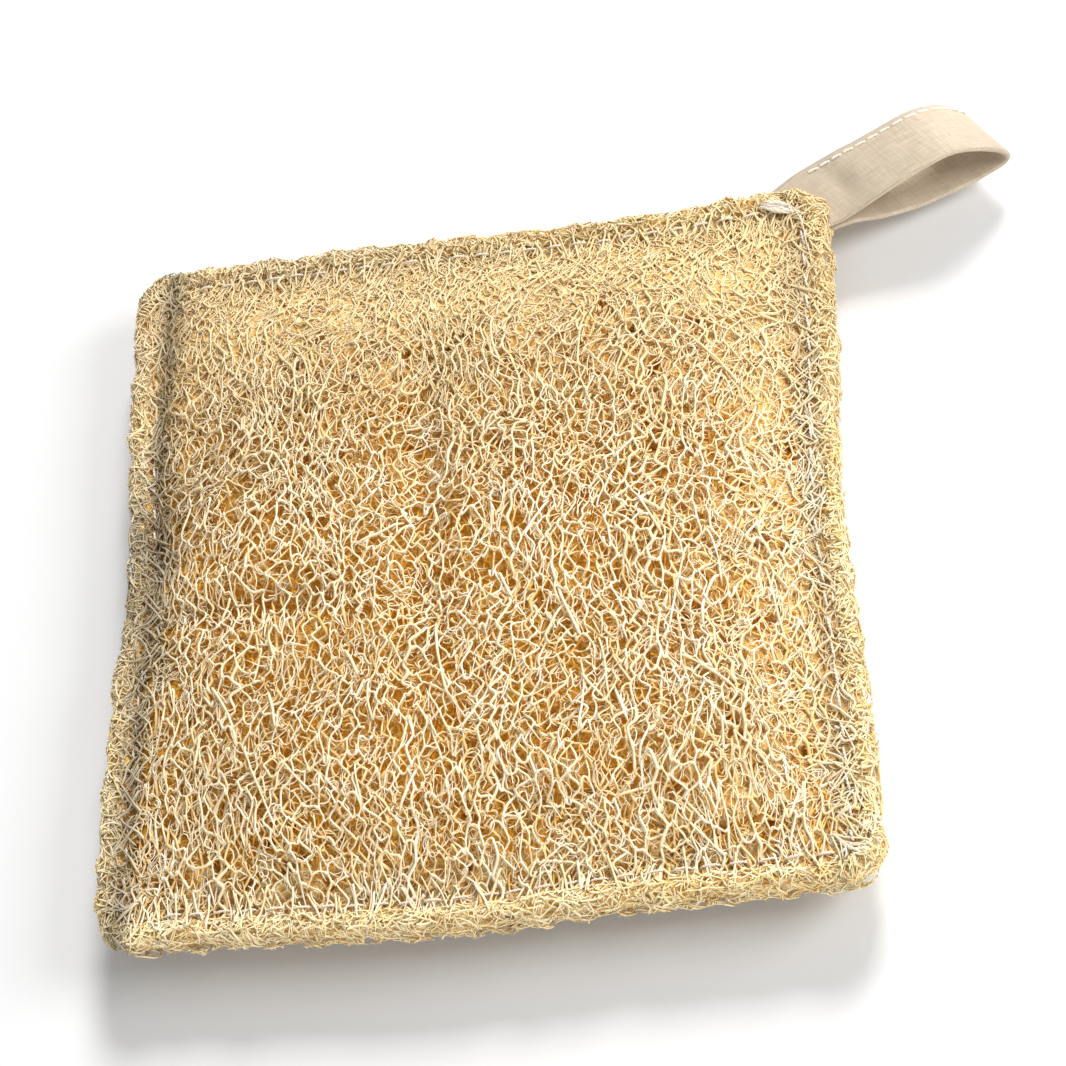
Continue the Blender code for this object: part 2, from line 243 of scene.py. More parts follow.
# Points on a smooth curve through the given ones
def smoothed(points, steps):
    p = np.vstack([2 * points[0] - points[1], points, 2 * points[-1] - points[-2]])
    t = (np.arange(steps) / steps)[None, :, None]
    p0, p1, p2, p3 = (p[k:len(p) - 3 + k, None, :] for k in range(4))
    bend = 0.5 * (2 * p1 + (p2 - p0) * t + (2 * p0 - 5 * p1 + 4 * p2 - p3) * t ** 2
                  + (3 * p1 - p0 - 3 * p2 + p3) * t ** 3)
    return np.vstack([bend.reshape(-1, points.shape[1]), points[-1:]])


# The way travelled at each of a row of points
def travelAlong(points):
    return np.r_[0, np.cumsum(np.linalg.norm(np.diff(points, axis=0), axis=1))]


# An sRGB hex colour as linear light
def linear(code):
    result = []
    for i in (0, 2, 4):
        c = int(code[i:i + 2], 16) / 255
        result.append(c / 12.92 if c <= 0.04045 else ((c + 0.055) / 1.055) ** 2.4)
    return (*result, 1.0)


# Links into a node. A node as a source stands for its result
def linkInto(tree, node, links):
    for key, source in links.items():
        if isinstance(source, bpy.types.Node):
            source = next(socket for socket in source.outputs if socket.enabled)
        tree.links.new(source, node.inputs[key])


def addNode(tree, kind, settings, links):
    node = tree.nodes.new("ShaderNode" + kind)
    for key, value in settings.items():
        if isinstance(key, int) or key in node.inputs:
            node.inputs[key].default_value = value
        else:
            setattr(node, key, value)
    linkInto(tree, node, links)
    return node


# An object of the data, in the scene
def addObject(name, data):
    thing = bpy.data.objects.new(name, data)
    bpy.context.scene.collection.objects.link(thing)
    return thing


def newMaterial(name, roughness, specular):
    material = bpy.data.materials.new(name)
    material.use_nodes = True
    shader = material.node_tree.nodes["Principled BSDF"]
    shader.inputs["Roughness"].default_value = roughness
    shader.inputs["Specular IOR Level"].default_value = specular
    return material, material.node_tree, shader


def finishPiece(piece, material, slot, *nodes):
    piece.data.materials.clear()
    piece.data.materials.append(material)
    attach(piece, "root")
    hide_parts(*nodes)
    return piece


# Runs one operator on all of the active mesh
def editWhole(operator, **settings):
    bpy.ops.object.mode_set(mode="EDIT")
    bpy.ops.mesh.select_all(action="SELECT")
    operator(**settings)
    bpy.ops.object.mode_set(mode="OBJECT")


# A finished piece of tubes through rows of points, each with its own thickness.
# Each fibre gets its own tone, from 0, palest, to 1, most golden
def fibrePiece(name, strands, material, node, slot="loofah_fibre", sides=4, seed=1):
    curve = bpy.data.curves.new(name, "CURVE")
    curve.dimensions = "3D"
    curve.use_fill_caps = True
    bpy.ops.object.select_all(action="DESELECT")
    if sides == 3:
        bpy.ops.curve.primitive_bezier_circle_add(radius=mm)
        section = bpy.context.object
        section.data.splines.clear()
        outline = section.data.splines.new("POLY")
        outline.points.add(2)
        for k, point in enumerate(outline.points):
            angle = math.tau * k / 3
            point.co = (mm * math.cos(angle), mm * math.sin(angle), 0, 1)
        outline.use_cyclic_u = True
        curve.bevel_mode = "OBJECT"
        curve.bevel_object = section
        section.select_set(False)
    else:
        curve.bevel_depth = mm
        curve.bevel_resolution = 0
    for points, radii in strands:
        spline = curve.splines.new("POLY")
        spline.points.add(len(points) - 1)
        places = np.ones((len(points), 4))
        places[:, :3] = points * mm
        spline.points.foreach_set("co", places.ravel())
        spline.points.foreach_set("radius", radii)
    piece = addObject(name, curve)
    piece.select_set(True)
    bpy.context.view_layer.objects.active = piece
    bpy.ops.object.convert(target="MESH")
    piece = bpy.context.view_layer.objects.active
    if sides == 3:
        bpy.data.objects.remove(section)
    tones = np.random.default_rng(seed).random(len(strands))
    # the caps' own points come first, the last fibre's before the others', and
    # they are merged with the fibres' below
    tone = np.r_[np.repeat(tones[::-1], 2 * sides),
                 np.repeat(tones, [len(points) * sides for points, radii in strands])]
    layer = piece.data.attributes.new("tone", "FLOAT", "POINT")
    layer.data.foreach_set("value", tone)
    editWhole(bpy.ops.mesh.remove_doubles, threshold=0.0005 * mm)
    print(name, len(strands), "fibres", sum(len(f.vertices) - 2 for f in piece.data.polygons),
          "triangles")
    return finishPiece(piece, material, slot, node)


# Dried loofah fibre: matt cellulose strands, cream where they lie near the face and golden deep
# in the net: the deeper copies are painted darker and more golden, as painted shade and light
# bounced inside the net. Painted shade darkens the left side and the grooves, the left groove
# most
fibreLook = {
    "finish": (0.6, 0.3),
    "streakLength": 4.0,
    "patchLength": 26.0,
    # the dark patch and the darker groove lines are painted shade in the grooves
    "darkPatchPlace": (-57.8, 0.0, 11.0),
    "darkPatchReach": (5.0, 24.0, 9.0),
    "grooveDark": "5d5040",
    "felted": "e9d09c",
    "groove": (58.6, 3.7),
    "grooveShade": (0.68, 0.22),
}


def fibreMaterial(name, pale, golden, leftShadeColour, leftShadeShare=0.5):
    material, tree, shader = newMaterial(name, *fibreLook["finish"])
    place = addNode(tree, "TexCoord", {}, {}).outputs["Object"]
    tone = addNode(tree, "Attribute", {"attribute_name": "tone"}, {}).outputs["Fac"]
    streak = addNode(tree, "TexNoise", {
        "Scale": 1 / (fibreLook["streakLength"] * mm), "Detail": 3.0}, {"Vector": place})
    # half of the difference is between fibres, half along them
    both = addNode(tree, "Math", {"operation": "MULTIPLY_ADD", 1: 0.5}, {0: tone, 2: streak})
    ramp = addNode(tree, "MapRange", {"From Min": 0.4, "From Max": 1.1}, {"Value": both})
    mixed = addNode(tree, "Mix", {"data_type": "RGBA", 6: linear(pale), 7: linear(golden)},
                    {"Factor": ramp})
    # painted shade: greyer and darker toward the left side, in patches
    patch = addNode(tree, "TexNoise", {"Scale": 1 / (fibreLook["patchLength"] * mm)},
                    {"Vector": place})
    split = addNode(tree, "SeparateXYZ", {}, {"Vector": place})
    left = addNode(tree, "MapRange", {
        "From Min": 25 * mm, "From Max": -60 * mm, "To Max": leftShadeShare},
        {"Value": split.outputs["X"]})
    spread = addNode(tree, "MapRange", {
        "From Min": 0.35, "From Max": 0.65, "To Min": 0.2, "To Max": 1.0},
        {"Value": patch})
    share = addNode(tree, "Math", {"operation": "MULTIPLY"}, {0: left, 1: spread})
    # more even where it is felted, on the far side
    felted = addNode(tree, "MapRange", {
        "From Min": 5 * mm, "From Max": 45 * mm, "To Max": 0.75},
        {"Value": split.outputs["Y"]})
    evened = addNode(tree, "Mix", {"data_type": "RGBA", 7: linear(fibreLook["felted"])},
                     {"Factor": felted, 6: mixed})
    leftShaded = addNode(tree, "Mix", {"data_type": "RGBA", 7: linear(leftShadeColour)},
                     {"Factor": share, 6: evened})
    # painted shade in a long dark patch along the left groove, as distance from its middle in
    # its own reaches
    centre = [-p / r for p, r in zip(fibreLook["darkPatchPlace"], fibreLook["darkPatchReach"])]
    scaled = addNode(tree, "VectorMath", {
        "operation": "MULTIPLY_ADD", 1: [1 / (r * mm) for r in fibreLook["darkPatchReach"]],
        2: centre}, {0: place})
    away = addNode(tree, "VectorMath", {"operation": "LENGTH"}, {0: scaled})
    darkPatch = addNode(tree, "MapRange", {"From Min": 1.5, "From Max": 0.2, "To Max": 0.85},
                     {"Value": away})
    darkPatchShare = addNode(tree, "Math", {"operation": "MULTIPLY"}, {0: darkPatch, 1: spread})
    # painted shade all along the left groove, and less along the right one
    middle, reach = fibreLook["groove"]
    leftGrooveShade, rightGrooveShade = fibreLook["grooveShade"]
    outward = addNode(tree, "Math", {"operation": "ABSOLUTE"}, {0: split.outputs["X"]})
    off = addNode(tree, "Math", {"operation": "SUBTRACT", 1: middle * mm}, {0: outward})
    beside = addNode(tree, "Math", {"operation": "ABSOLUTE"}, {0: off})
    most = addNode(tree, "MapRange", {
        "From Min": -50 * mm, "From Max": 50 * mm, "To Min": leftGrooveShade, "To Max": rightGrooveShade},
        {"Value": split.outputs["X"]})
    grooveShade = addNode(tree, "MapRange", {"From Min": reach * mm, "From Max": 0.0},
                   {"Value": beside, "To Max": most})
    both = addNode(tree, "Math", {"operation": "MAXIMUM"}, {0: darkPatchShare, 1: grooveShade})
    colour = addNode(tree, "Mix", {"data_type": "RGBA", 7: linear(fibreLook["grooveDark"])},
                     {"Factor": both, 6: leftShaded})
    linkInto(tree, shader, {"Base Color": colour})
    return material


# lit and shaded copies of one fibre: the outer nets get the palest colours, the middle ones
# golden and the deep ones the darkest, most golden, as painted shade
fibrePale = fibreMaterial("dried_loofah_outer_strands", "fff5de", "f4dcaa", "d6c4a2")
fibreGolden = fibreMaterial("dried_loofah_middle_strands", "f9e3b0", "e8be70", "c9b082")
fibreDeep = fibreMaterial("dried_loofah_deep_strands", "efbd5a", "dc9420", "b8883a")
fibreCut = fibreMaterial("dried_loofah_cut_ends", "fff3d0", "fadb94", "eadcc2", 0.6)


# The nets: wavy strands, with linking strands that leave and join them at a
# slant, so that they meet in webbed Y junctions round open cells
def netFibres(rng, flow, net, side, spread):
    spacing, cell = net["spacing"], net["cell"]
    reach = 96.0
    lines, rows = int(2 * reach / spacing), int(4 * reach / cell)
    i, j = np.meshgrid(np.arange(lines), np.arange(rows), indexing="ij")
    toRight = (i + j) % 2 == 0
    a = (i - lines / 2) * spacing + np.where(toRight, 1, -1) * net["pull"] * spacing
    b = (j - rows / 2) * cell / 2
    a = a + rng.normal(0, net["jitter"] * spacing, a.shape)
    b = b + rng.normal(0, net["jitter"] * cell / 2, b.shape)
    u, v = flow(a, b)
    ridge = waves(rng, 12.0)
    depth = net["depth"] + rng.uniform(-1, 1, u.shape) * net["depthJitter"]
    depth = depth * (0.45 + 0.6 * openness(u, v)) + net["depthWave"] * ridge(u, v)
    inset = edgeDistance(u, v)
    inside = inset > net["edge"] + rng.uniform(0, 1.5, u.shape)
    points = facePoint(u, v, side, depth, spread)
    thick = np.where(rng.random(lines) < net["thickShare"], net["thick"], net["radius"])
    strands = []
    for line in range(lines):
        kept = inside[line] & (rng.random(rows) > net["breaks"])
        starts = np.flatnonzero(kept & ~np.r_[False, kept[:-1]])
        ends = np.flatnonzero(kept & ~np.r_[kept[1:], False])
        for start, end in zip(starts, ends):
            if end - start < 2:
                continue
            run = smoothed(points[line, start:end + 1], net["steps"])
            swell = rng.uniform(0.72, 1.3, end - start + 2)
            radii = thick[line] * np.interp(
                np.arange(len(run)) / net["steps"], np.arange(len(swell)), swell)
            strands.append((run, radii))
    along = np.zeros_like(points)
    along[:, 1:-1] = (points[:, 2:] - points[:, :-2]) / 2
    t = np.linspace(0, 1, net["linkPoints"])[:, None]
    flare = 1 + 0.85 * np.abs(np.linspace(-1, 1, net["linkPoints"])) ** 3
    for line in range(lines - 1):
        for row in np.flatnonzero(inside[line] & inside[line + 1] & toRight[line]):
            if rng.random() < net["gaps"]:
                continue
            first, last = points[line, row], points[line + 1, row]
            across = last - first
            if np.linalg.norm(across) > 2.2 * spacing:
                continue
            slant = net["slant"] * rng.choice((-1, 1)) * rng.uniform(0.5, 1.3)
            back = 1 if rng.random() < 0.5 else -1
            dip = np.array([0, 0, -side * rng.uniform(-0.2, 0.7)])
            c1 = first + slant * along[line, row] + 0.3 * across + dip
            c2 = last + back * slant * along[line + 1, row] - 0.3 * across + dip
            run = ((1 - t) ** 3 * first + 3 * t * (1 - t) ** 2 * c1
                   + 3 * t ** 2 * (1 - t) * c2 + t ** 3 * last)
            size = net["linkRadius"] * rng.uniform(0.7, 1.3)
            strands.append((run, size * flare))
    return strands


# Short fibres that fan out in the net's cells, most of them along its strands
def looseFibres(rng, flow, loose, side, spread):
    strands = []
    reach = 90.0
    steps = np.linspace(-0.5, 0.5, loose["points"])
    taper = 1 - 0.35 * np.abs(2 * steps) ** 3
    while len(strands) < loose["count"]:
        a, b = rng.uniform(-reach, reach, 2)
        scatter = loose["scatter"] if rng.random() < loose["combed"] else 1.2
        length = rng.uniform(*loose["length"])
        heading = rng.normal(math.pi / 2, scatter) + rng.normal(0, loose["curl"]) * steps
        us, vs = flow(a + length * steps * np.cos(heading), b + length * steps * np.sin(heading))
        if edgeDistance(us, vs).min() < loose["edge"]:
            continue
        if rng.random() < 0.5 * openness(us[0], vs[0]):  # denser where it is matted
            continue
        if pitShare(us[2], vs[2]) > 0.45:
            continue
        level = rng.uniform(*loose["depth"]) + rng.uniform(-1, 1) * steps * loose["slope"]
        level = np.maximum(level - rng.uniform(0, 0.5) * (1 - 4 * steps ** 2), 0.1)
        level = level * (0.35 + 0.7 * openness(us, vs))
        run = facePoint(us, vs, side, level, spread)
        strands.append((run, rng.uniform(*loose["radius"]) * taper))
    return strands


# Long thick strands that cross the net on a slant
def crossingStrands(rng, crossing, side, spread):
    strands = []
    reach = pad["half"] - 9
    for _ in range(crossing["count"]):
        u, v = rng.uniform(-reach, reach, 2)
        angle = rng.normal(math.pi / 2, crossing["scatter"])
        length = rng.uniform(*crossing["length"])
        steps = np.linspace(-0.5, 0.5, max(int(length / 1.6), 6))
        bend = np.cumsum(np.cumsum(rng.normal(0, crossing["curl"], len(steps))))
        heading = angle + 0.25 * bend
        us = u + np.cumsum(np.cos(heading)) * length / len(steps)
        vs = v + np.cumsum(np.sin(heading)) * length / len(steps)
        kept = edgeDistance(us, vs) > 6
        us, vs = us[kept], vs[kept]
        if len(us) < 5:
            continue
        level = crossing["depth"] + rng.normal(0, 0.2, len(us))
        level[0], level[-1] = level[0] + 1.2, level[-1] + 1.2
        run = facePoint(us, vs, side, level, spread)
        radii = rng.uniform(*crossing["radius"]) * rng.uniform(0.85, 1.15, len(us))
        radii[0], radii[-1] = radii[0] * 0.5, radii[-1] * 0.5
        strands.append((smoothed(run, 2), np.repeat(radii, 2)[:2 * len(us) - 1]))
    return strands


# What the nets have in common. Each then has its own spacing, way and depth
plainNet = {
    "pull": 0.17, "jitter": 0.22, "depthJitter": 0.4, "edge": 1.6, "radius": 0.19,
    "thick": 0.28, "thickShare": 0.18, "linkRadius": 0.17, "breaks": 0.04, "gaps": 0.12,
}
topNets = {
    "outerNet": {
        **plainNet, "spacing": 2.2, "cell": 3.6, "turn": -4, "pull": 0.18, "steps": 3,
        "wander": ((40, 1.0), (16, 0.38)), "depth": 0.35, "depthWave": 0.3, "radius": 0.18,
        "linkPoints": 5, "slant": 0.6, "breaks": 0.03, "gaps": 0.1,
    },
    "middleNet": {
        **plainNet, "spacing": 2.2, "cell": 3.4, "turn": 9, "steps": 2,
        "wander": ((34, 1.1), (13, 0.42)), "depth": 1.0, "depthWave": 0.25,
        "linkRadius": 0.16, "linkPoints": 5, "slant": 0.55,
    },
    "deepNet": {
        **plainNet, "spacing": 2.6, "cell": 4.0, "turn": -30, "jitter": 0.17, "steps": 1,
        "wander": ((34, 1.2), (13, 0.5)), "depth": 1.9, "depthWave": 0.2, "edge": 2.0,
        "thickShare": 0.1, "linkPoints": 4, "slant": 0.5,
    },
}
topLoose = {
    "outerFibres": {
        "count": 5950, "edge": 3.0, "scatter": 0.45, "combed": 0.6, "length": (1.6, 4.4),
        "curl": 1.2, "depth": (0.15, 1.2), "slope": 1.0, "radius": (0.08, 0.15), "points": 5,
    },
    "innerFibres": {
        "count": 5000, "edge": 3.0, "scatter": 0.5, "combed": 0.5, "length": (1.8, 4.8),
        "curl": 1.2, "depth": (0.9, 2.3), "slope": 1.0, "radius": (0.1, 0.18), "points": 5,
    },
}
topCrossing = {
    "count": 60, "scatter": 0.5, "length": (7, 20), "curl": 0.12, "depth": 0.15,
    "radius": (0.16, 0.27),
}


def buildTopLayer():
    spread = pad["topSpread"]
    looks = {"outerNet": fibrePale, "middleNet": fibreGolden, "deepNet": fibreDeep,
             "outerFibres": fibrePale, "innerFibres": fibreGolden}
    for number, (name, net) in enumerate(topNets.items()):
        rng = np.random.default_rng(100 + number)
        flow = netFlow(120 + number, net)
        fibrePiece("loofah_top_" + name, netFibres(rng, flow, net, 1, spread), looks[name],
                   "loofah_top_layer")
    rng = np.random.default_rng(110)
    flow = netFlow(120, topNets["outerNet"])
    for name, loose in topLoose.items():
        fibrePiece("loofah_top_" + name, looseFibres(rng, flow, loose, 1, spread), looks[name],
                   "loofah_top_layer", sides=3)
    crossing = crossingStrands(np.random.default_rng(111), topCrossing, 1, spread)
    fibrePiece("loofah_top_crossingStrands", crossing, fibrePale, "loofah_top_layer")


bottomNet = {
    **plainNet, "spacing": 2.5, "cell": 4.0, "turn": 5, "jitter": 0.16, "steps": 1,
    "wander": ((38, 2.0), (15, 0.9)), "depth": 0.35, "depthJitter": 0.15, "depthWave": 0.0,
    "radius": 0.21, "thick": 0.3, "thickShare": 0.15, "linkPoints": 4, "slant": 0.6,
    "breaks": 0.03,
}


def buildBottomLayer():
    flow = netFlow(220, bottomNet)
    strands = netFibres(np.random.default_rng(200), flow, bottomNet, -1, pad["bottomSpread"])
    fibrePiece("loofah_bottom_outerNet", strands, fibrePale, "loofah_bottom_layer")


# The dense mat of fibre under the nets, which closes the view through the pad
mat = {
    "step": 1.4, "pitDepth": 2.4, "matted": 0.35, "open": 3.3, "rimDepth": 0.8,
    "rimWidth": 16, "edge": 1.3, "rough": 0.3, "thinnest": 0.3, "flatSide": 0.1, "seed": 300,
}


# Felted fine fibres, golden, with thin paler fibres crossing all over it. The darker golden
# between the pale fibres, and in the gaps of the pale felt, is painted shade and light bounced
# inside the net
matLook = {
    "finish": (0.7, 0.2), "fibreApart": 1.6, "blotch": 5.0, "deep": "c67f0c",
    "golden": "ecaa2c", "strand": "efc262", "felt": "fdebc0", "feltGapShade": "e5b766",
    "pit": "c07a0c",
}


def matMaterial():
    material, tree, shader = newMaterial("felted_loofah_fibre", *matLook["finish"])
    place = addNode(tree, "TexCoord", {}, {}).outputs["Object"]
    cells = addNode(tree, "TexVoronoi", {
        "feature": "DISTANCE_TO_EDGE", "Scale": 1 / (matLook["fibreApart"] * mm)},
        {"Vector": place})
    strand = addNode(tree, "MapRange", {"From Min": 0.03, "From Max": 0.15}, {"Value": cells})
    blotch = addNode(tree, "TexNoise", {"Scale": 1 / (matLook["blotch"] * mm), "Detail": 4.0},
                     {"Vector": place})
    deep = addNode(tree, "Mix", {
        "data_type": "RGBA", 6: linear(matLook["deep"]), 7: linear(matLook["golden"])},
        {"Factor": blotch})
    middle = addNode(tree, "Mix", {"data_type": "RGBA", 6: linear(matLook["strand"])},
                     {"Factor": strand, 7: deep})
    # paler toward the rim and the far side, where the layers are pressed and the mat lies near
    # the face: partly the felt's own colour, partly painted light, as the deeper mat is painted
    # golden for shade
    split = addNode(tree, "SeparateXYZ", {}, {"Vector": place})
    across = addNode(tree, "Math", {"operation": "ABSOLUTE"}, {0: split.outputs["X"]})
    up = addNode(tree, "Math", {"operation": "ABSOLUTE"}, {0: split.outputs["Y"]})
    out = addNode(tree, "Math", {"operation": "MAXIMUM"}, {0: across, 1: up})
    rim = addNode(tree, "MapRange", {"From Min": 56 * mm, "From Max": 61 * mm}, {"Value": out})
    far = addNode(tree, "MapRange", {"From Min": 5 * mm, "From Max": 45 * mm, "To Max": 0.9},
                  {"Value": split.outputs["Y"]})
    right = addNode(tree, "MapRange", {"From Min": 25 * mm, "From Max": 52 * mm, "To Max": 0.8},
                    {"Value": split.outputs["X"]})
    sides = addNode(tree, "Math", {"operation": "MAXIMUM"}, {0: right, 1: far})
    pressed = addNode(tree, "Math", {"operation": "MAXIMUM"}, {0: rim, 1: sides})
    felt = addNode(tree, "Mix", {
        "data_type": "RGBA", 6: linear(matLook["felt"]), 7: linear(matLook["feltGapShade"])},
        {"Factor": strand})
    surface = addNode(tree, "Mix", {"data_type": "RGBA"},
                      {"Factor": pressed, 6: middle, 7: felt})
    # painted shade: the pits are painted darker and more golden as they deepen
    pit = addNode(tree, "Attribute", {"attribute_name": "pit"}, {}).outputs["Fac"]
    pitShade = addNode(tree, "MapRange", {"From Min": 0.25, "From Max": 0.7}, {"Value": pit})
    colour = addNode(tree, "Mix", {"data_type": "RGBA", 7: linear(matLook["pit"])},
                     {"Factor": pitShade, 6: surface})
    bump = addNode(tree, "Bump", {"Strength": 0.7, "Distance": 0.4 * mm, "invert": True},
                   {"Height": strand})
    linkInto(tree, shader, {"Base Color": colour, "Normal": bump})
    return material


feltedMat = matMaterial()


def buildMat(name, side, spread, node):
    reach = pad["half"] - mat["edge"]
    count = int(2 * reach / mat["step"])
    bpy.ops.mesh.primitive_grid_add(
        x_subdivisions=count, y_subdivisions=count, size=2 * reach * mm)
    piece = bpy.context.object
    piece.name = piece.data.name = name
    flat = np.empty(3 * len(piece.data.vertices))
    piece.data.vertices.foreach_get("co", flat)
    u, v = (flat.reshape(-1, 3)[:, k] / mm for k in (0, 1))
    # the square's corners are drawn in to the rounded outline
    qx, qy = (np.maximum(np.abs(w) - straightHalf, 0) for w in (u, v))
    pull = np.maximum(qx, qy) / np.maximum(np.hypot(qx, qy), 1e-9)
    corner = (qx > 0) & (qy > 0)
    u = np.where(corner, np.sign(u) * (straightHalf + qx * pull), u)
    v = np.where(corner, np.sign(v) * (straightHalf + qy * pull), v)
    rng = np.random.default_rng(mat["seed"] + side)
    share = riseShare(edgeDistance(u, v), pad["seamInset"], mat["rimWidth"])
    middle = mat["matted"] + (mat["open"] - mat["matted"]) * openness(u, v)
    depth = mat["rimDepth"] + (middle - mat["rimDepth"]) * share
    depth = depth + rng.uniform(-1, 1, u.shape) * mat["rough"]
    pit = pitShare(u, v) if side > 0 else np.zeros(len(u))
    depth = depth + mat["pitDepth"] * pit
    shade = piece.data.attributes.new("pit", "FLOAT", "POINT")
    shade.data.foreach_set("value", pit)
    height = np.maximum(faceHeight(u, v, spread) - depth, mat["thinnest"])
    upper = np.stack([*handCut(u, v), pad["middle"] + side * height], axis=-1)
    piece.data.vertices.foreach_set("co", (upper * mm).ravel())
    editWhole(bpy.ops.mesh.extrude_region_move)
    for vertex in piece.data.vertices:
        if vertex.select:
            vertex.co.z = (pad["middle"] + side * mat["flatSide"]) * mm
    editWhole(bpy.ops.mesh.normals_make_consistent, inside=False)
    bpy.ops.object.shade_smooth()
    print(name, "closed mat")
    finishPiece(piece, feltedMat, "loofah_fibre", node)


# Cut fibre ends rolled round the rim: short curls that lie along its round
# section, with some that stand off it. The section runs from the seam over the
# crest and down the edge, as insets and heights
fringe = {
    "section": ((3.9, 2.7), (3.2, 3.2), (2.2, 3.7), (1.2, 3.75), (0.5, 3.1), (0.1, 2.2),
                (0.0, 1.2), (0.1, 0.15)),
    "topCount": 4400, "bottomCount": 2200, "length": (2.0, 4.8), "scatter": 1.0,
    "curl": (0.05, 0.4), "lift": (-0.3, 0.25), "standing": 0.3, "standLift": 1.1,
    "radius": (0.12, 0.23), "swell": 0.3, "waveCounts": (14, 90), "seed": 400,
}


# A place on the true square's outline, with the distance round from its
# lower left end as the travel
def outlinePlace(travel, inset):
    side, along = divmod(travel, quarterLength)
    if along <= 2 * straightHalf:
        u, v = along - straightHalf, inset - pad["half"]
    else:
        angle = (along - 2 * straightHalf) / pad["cornerRadius"]
        radius = pad["cornerRadius"] - inset
        u, v = straightHalf + radius * math.sin(angle), -straightHalf - radius * math.cos(angle)
    for _ in range(int(side) % 4):
        u, v = -v, u
    return u, v


def buildFringe(name, side, count, node):
    rng = np.random.default_rng(fringe["seed"] + side)
    section = np.array(fringe["section"])
    reached = travelAlong(section)
    facing = np.gradient(section, axis=0)
    facing = np.stack([facing[:, 1], -facing[:, 0]], axis=1)
    facing /= -np.linalg.norm(facing, axis=1)[:, None]
    swells = [(rng.uniform(0, math.tau), rng.integers(*fringe["waveCounts"])) for _ in range(6)]
    steps = np.linspace(0, 1, 5)
    strands = []
    for _ in range(count):
        travel = rng.uniform(0, outlineLength)
        start = rng.uniform(0.2, reached[-1])
        length = rng.uniform(*fringe["length"])
        curl = rng.uniform(*fringe["curl"]) * rng.choice((-1, 1)) * length
        heading = rng.normal(0, fringe["scatter"]) + curl * (steps - 0.5)
        across = start + length / 4 * np.cumsum(np.cos(heading)) - length / 2
        along = travel + length / 4 * np.cumsum(np.sin(heading))
        across = np.abs(across)
        lift = rng.uniform(*fringe["lift"]) + 0.25 * np.sin(math.pi * steps)
        if rng.random() < fringe["standing"]:
            lift = lift + rng.uniform(0.2, fringe["standLift"]) * steps ** 2
        run = []
        for s, t, l in zip(np.minimum(across, reached[-1]), along, lift):
            inset, height = (np.interp(s, reached, section[:, k]) for k in (0, 1))
            outInset, outHeight = (np.interp(s, reached, facing[:, k]) for k in (0, 1))
            swell = sum(math.sin(phase + math.tau * turns * t / outlineLength)
                        for phase, turns in swells) / 2 * fringe["swell"]
            grown = l + swell * (1 - inset / 4.6)
            u, v = outlinePlace(t % outlineLength, inset + outInset * grown)
            x, y = handCut(u, v)
            run.append((x, y, pad["middle"] + side * (height + outHeight * grown)))
        size = rng.uniform(*fringe["radius"])
        strands.append((np.array(run), size * np.array([0.8, 1, 1, 0.9, 0.6])))
    fibrePiece(name, strands, fibreCut, node, sides=3, seed=fringe["seed"])


# Strands of the net that run on over the seam's groove and end on the rim
groove = {
    "count": 300, "inner": (5.5, 9.0), "outer": (1.6, 3.6), "beside": (2.0, 8.0),
    "across": (0.0, 3.0), "bridge": 0.3, "wave": 0.7, "radius": (0.12, 0.22), "seed": 450,
}


def buildGrooveStrands():
    rng = np.random.default_rng(groove["seed"])
    steps = np.linspace(0, 1, 8)
    strands = []
    for _ in range(groove["count"]):
        travel = rng.uniform(0, outlineLength)
        inner, outer = rng.uniform(*groove["inner"]), rng.uniform(*groove["outer"])
        u, v = outlinePlace(travel, inner)
        # the net runs along the left and right sides and across the other two
        reach = groove["beside"] if abs(u) > abs(v) else groove["across"]
        slant = rng.uniform(*reach) * rng.choice((-1, 1))
        wave = groove["wave"] * (rng.uniform(-1, 1) * np.sin(math.tau * steps)
                                 + rng.uniform(-1, 1) * np.sin(math.pi * steps))
        places = [outlinePlace((travel + slant * t) % outlineLength,
                               inner + (outer - inner) * t + w) for t, w in zip(steps, wave)]
        u, v = np.array(places).T
        face = faceHeight(u, v, pad["topSpread"])
        straight = face[0] + (face[-1] - face[0]) * steps
        height = face + groove["bridge"] * np.maximum(straight - face, 0) + 0.1
        height[0] -= 1.3
        height[-1] -= 0.6
        run = np.stack([*handCut(u, v), pad["middle"] + height], axis=1)
        size = rng.uniform(*groove["radius"]) * rng.uniform(0.8, 1.2, len(run))
        strands.append((run, size))
    fibrePiece("loofah_top_grooveStrands", strands, fibrePale, "loofah_top_layer")


# The lockstitch seam: two-ply thread, each stitch sunk at both ends
stitch = {
    "pitch": 4.45, "long": 3.3, "plyRadius": 0.155, "twist": 1.3, "lie": (0.25, 0.65),
    "dip": 1.1, "points": 9, "slant": 0.18,
}


def threadMaterial(name, code, shade):
    material, tree, shader = newMaterial(name, 0.7, 0.25)
    place = addNode(tree, "TexCoord", {}, {}).outputs["Object"]
    # hairs and twist of the sewing thread, about 0.3 mm
    hairs = addNode(tree, "TexNoise", {"Scale": 1 / (0.3 * mm)}, {"Vector": place})
    colour = addNode(tree, "Mix", {"data_type": "RGBA", 6: linear(code), 7: linear(shade)},
                     {"Factor": hairs})
    linkInto(tree, shader, {"Base Color": colour})
    return material


seamThread = threadMaterial("spun_polyester_seam_thread", "f6ecdd", "d3c6b3")
topThread = threadMaterial("spun_cotton_topstitch_thread", "fff8ec", "e8dcc8")


